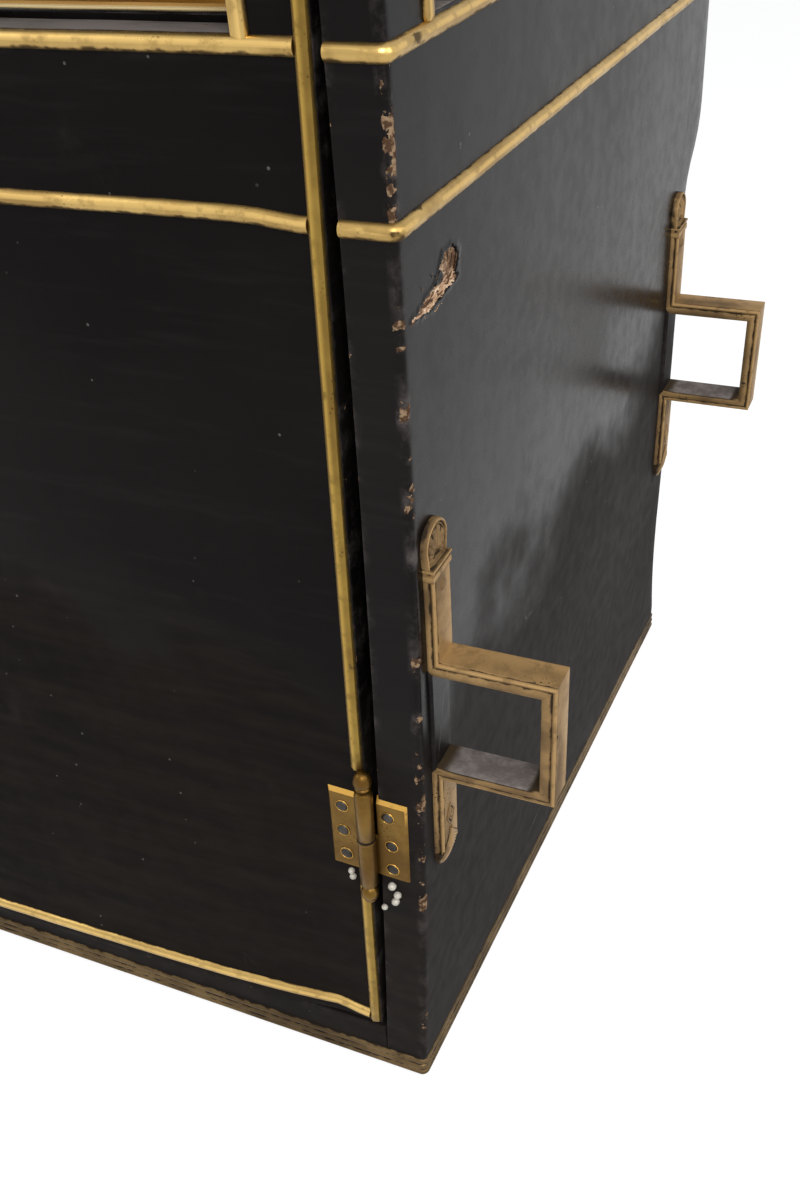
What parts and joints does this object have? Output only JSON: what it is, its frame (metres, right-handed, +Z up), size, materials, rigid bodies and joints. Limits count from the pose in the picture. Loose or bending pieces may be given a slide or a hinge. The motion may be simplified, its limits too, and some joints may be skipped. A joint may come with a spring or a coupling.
{
  "type": "sedan chair",
  "caption": "Leather-covered sedan chair with flared sides, brass mouldings, hinged front door, lifting domed roof and pole brackets.",
  "frame": {"origin": "on the ground under the middle of the roof", "axes": "+X towards the door's hinge side, -Y is the front with the door, +Z up"},
  "size_m": [0.8936, 0.849, 1.6595],
  "materials": {
    "black_leather": "worn, waxed black hide with fine grain",
    "bright_brass": "polished, lightly tarnished",
    "aged_brass": "dull, brown patina",
    "bare_wood": "plain oiled timber",
    "dark_wood": "black-stained, varnished",
    "window_glass": "clear, slightly uneven",
    "ochre_cloth": "woven ochre wool cloth",
    "cushion_cloth": "ochre wool cover, stuffed"
  },
  "bodies": {
    "cabin": {"front_post_right": "black_leather", "front_post_left": "black_leather", "side_wall_right": "black_leather", "side_wall_left": "black_leather", "back_wall": "black_leather", "front_sill_rail": "black_leather", "front_head_rail": "black_leather", "floor_board": "bare_wood", "sill_moulding": "bright_brass", "waist_moulding": "bright_brass", "cornice_moulding": "bright_brass", "base_moulding": "bright_brass", "side_window_trim_right": "bright_brass", "side_window_trim_left": "bright_brass", "side_sash_right": "dark_wood", "side_sash_left": "dark_wood", "side_glass_right": "window_glass", "side_glass_left": "window_glass", "post_hinge_leaf_low": "aged_brass", "post_hinge_leaf_high": "aged_brass", "pole_bracket_front_right": "aged_brass", "pole_bracket_front_left": "aged_brass", "pole_bracket_rear_right": "aged_brass", "pole_bracket_rear_left": "aged_brass", "bracket_pad_front_right": "black_leather", "bracket_pad_front_left": "black_leather", "bracket_pad_rear_right": "black_leather", "bracket_pad_rear_left": "black_leather", "seat_board": "bare_wood", "seat_riser": "bare_wood", "side_lining_right": "ochre_cloth", "side_lining_left": "ochre_cloth", "back_lining": "ochre_cloth", "seat_cushion": "cushion_cloth", "back_cushion": "cushion_cloth", "roof_hinge_brackets": "aged_brass"},
    "door": {"door_panel": "black_leather", "door_sash": "dark_wood", "door_glass": "window_glass", "door_lining": "ochre_cloth", "door_sill_moulding": "bright_brass", "door_waist_moulding": "bright_brass", "door_foot_moulding": "bright_brass", "door_edge_strips": "bright_brass", "door_window_trim": "bright_brass", "door_handle": "aged_brass", "door_hinge_leaf_low": "aged_brass", "door_hinge_leaf_high": "aged_brass"},
    "roof": {"roof_rim": "black_leather", "roof_shell": "black_leather", "roof_lining": "ochre_cloth", "roof_moulding": "bright_brass", "roof_finials": "bright_brass", "roof_hinge_knuckles": "aged_brass"}
  },
  "joints": [
    {"name": "door_hinge", "type": "hinge", "parent": "cabin", "child": "door", "pos_m": [0.29163, -0.3855, 0.3], "axis": [0.0344, 0, 0.9994], "range_deg": [0, 105]},
    {"name": "roof_hinge", "type": "hinge", "parent": "cabin", "child": "roof", "pos_m": [0, 0.4055, 1.4892], "axis": [-1, 0, 0], "range_deg": [0, 75]}
  ]
}
